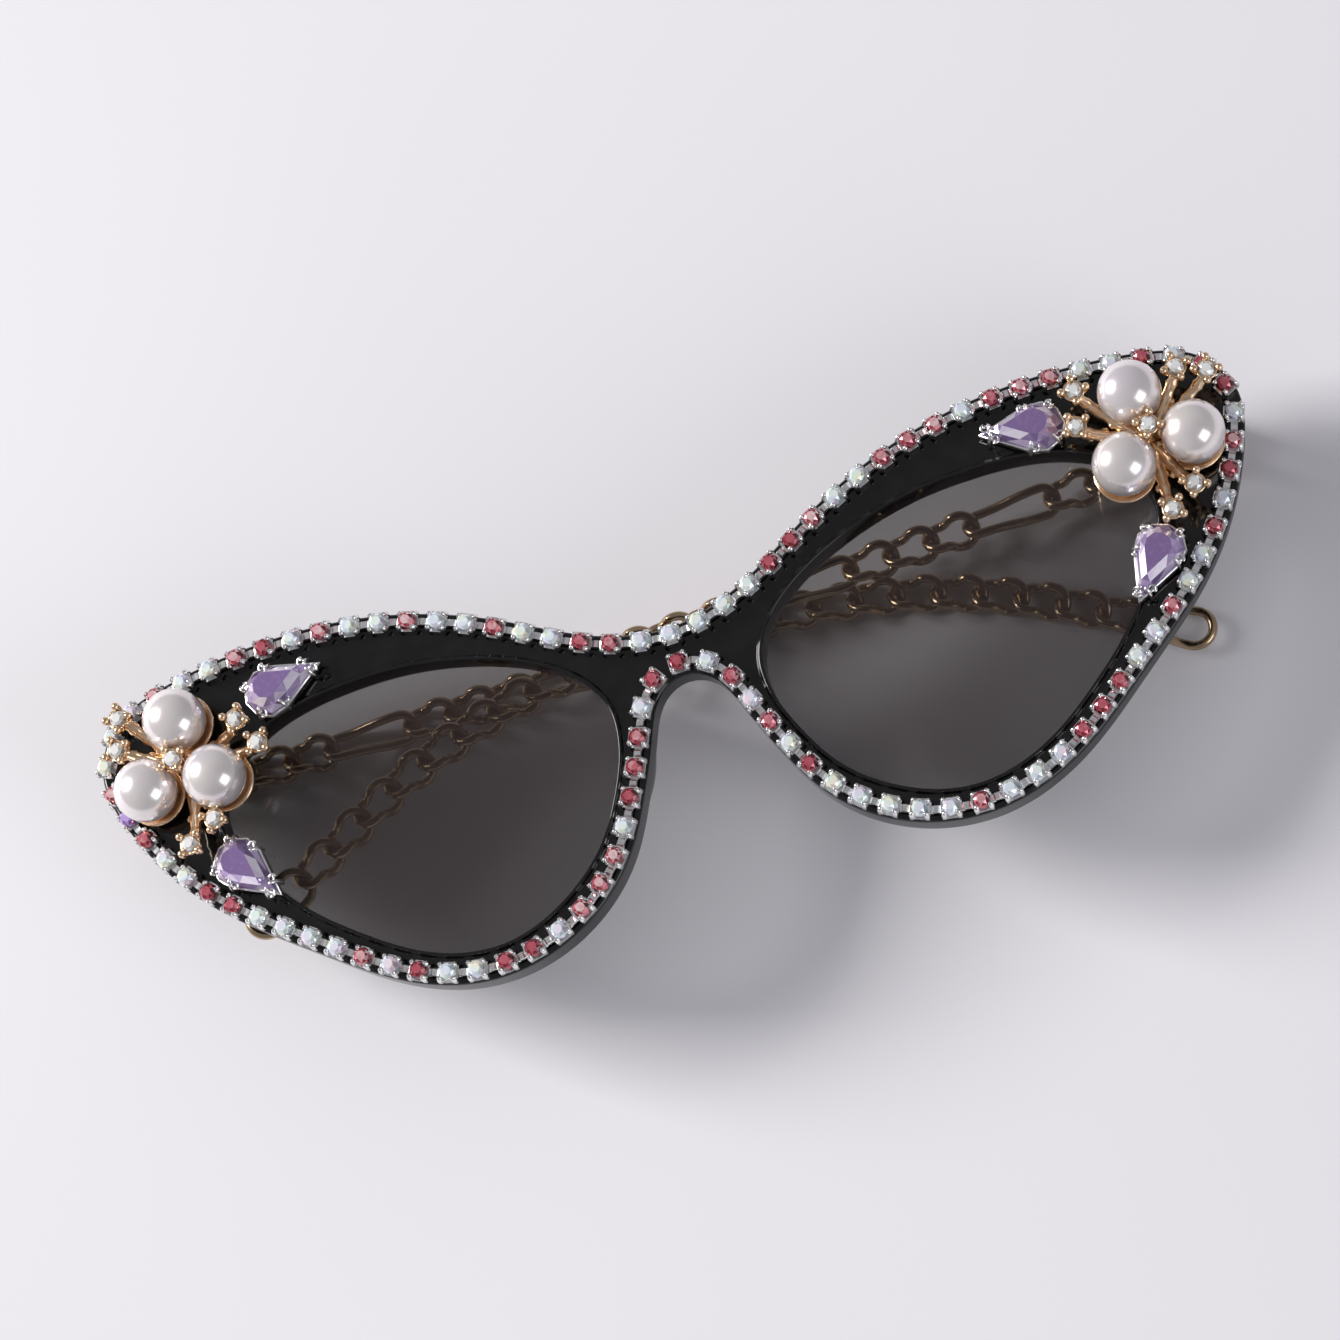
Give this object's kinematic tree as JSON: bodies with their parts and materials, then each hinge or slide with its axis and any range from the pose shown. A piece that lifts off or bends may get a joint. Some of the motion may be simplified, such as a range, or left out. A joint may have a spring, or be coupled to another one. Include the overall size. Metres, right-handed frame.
{
  "type": "cat eye sunglasses",
  "caption": "Cat eye sunglasses with a black front, crystal cup chain, pearl flower clusters, teardrop gems and folding gold chain temples.",
  "frame": {"origin": "bottom centre of the folded glasses, on the surface they lie on", "axes": "+X to the wearer's left, along the width; +Y from the lens bottoms to the brow; +Z the way the lenses face"},
  "size_m": [0.1508, 0.0524, 0.0256],
  "materials": {
    "black_acetate": "polished black",
    "smoke_lens": "grey smoke tint",
    "silver_plate": "bright silver plate",
    "gold_plate": "pale gold plate",
    "ruby_glass": "faceted ruby red",
    "aurora_glass": "faceted with an aurora coating",
    "purple_glass": "faceted purple",
    "lilac_glass": "faceted lilac",
    "clear_glass": "faceted clear",
    "pearl": "pearl lacquer"
  },
  "bodies": {
    "front": {"brow_aurora_stones": "aurora_glass", "brow_cup_chain": "silver_plate", "brow_ruby_stones": "ruby_glass", "front_frame": "black_acetate", "left_flower_casting": "gold_plate", "left_flower_stones": "clear_glass", "left_hinge_plate": "gold_plate", "left_hinge_screw": "gold_plate", "left_lens": "smoke_lens", "left_lower_drop_gem": "lilac_glass", "left_lower_drop_setting": "silver_plate", "left_pearl_1": "pearl", "left_pearl_2": "pearl", "left_pearl_3": "pearl", "left_upper_drop_gem": "lilac_glass", "left_upper_drop_setting": "silver_plate", "right_flower_casting": "gold_plate", "right_flower_stones": "clear_glass", "right_hinge_plate": "gold_plate", "right_hinge_screw": "gold_plate", "right_lens": "smoke_lens", "right_lower_drop_gem": "lilac_glass", "right_lower_drop_setting": "silver_plate", "right_pearl_1": "pearl", "right_pearl_2": "pearl", "right_pearl_3": "pearl", "right_upper_drop_gem": "lilac_glass", "right_upper_drop_setting": "silver_plate", "rim_aurora_stones": "aurora_glass", "rim_cup_chain": "silver_plate", "rim_purple_stones": "purple_glass", "rim_ruby_stones": "ruby_glass"},
    "left_temple": {"left_ear_links": "gold_plate", "left_end_loop": "gold_plate", "left_front_long_link": "gold_plate", "left_hinge_links": "gold_plate", "left_middle_links": "gold_plate", "left_rear_long_link": "gold_plate", "left_temple_root": "gold_plate"},
    "right_temple": {"right_ear_links": "gold_plate", "right_end_loop": "gold_plate", "right_front_long_link": "gold_plate", "right_hinge_links": "gold_plate", "right_middle_links": "gold_plate", "right_rear_long_link": "gold_plate", "right_temple_root": "gold_plate"}
  },
  "joints": [
    {"name": "left_temple_hinge", "type": "hinge", "parent": "front", "child": "left_temple", "pos_m": [0.069, 0.0161, 0.00169], "axis": [0, -1, 0], "range_deg": [0, 95]},
    {"name": "right_temple_hinge", "type": "hinge", "parent": "front", "child": "right_temple", "pos_m": [-0.069, 0.0161, 0.00169], "axis": [0, 1, 0], "range_deg": [0, 92]}
  ]
}
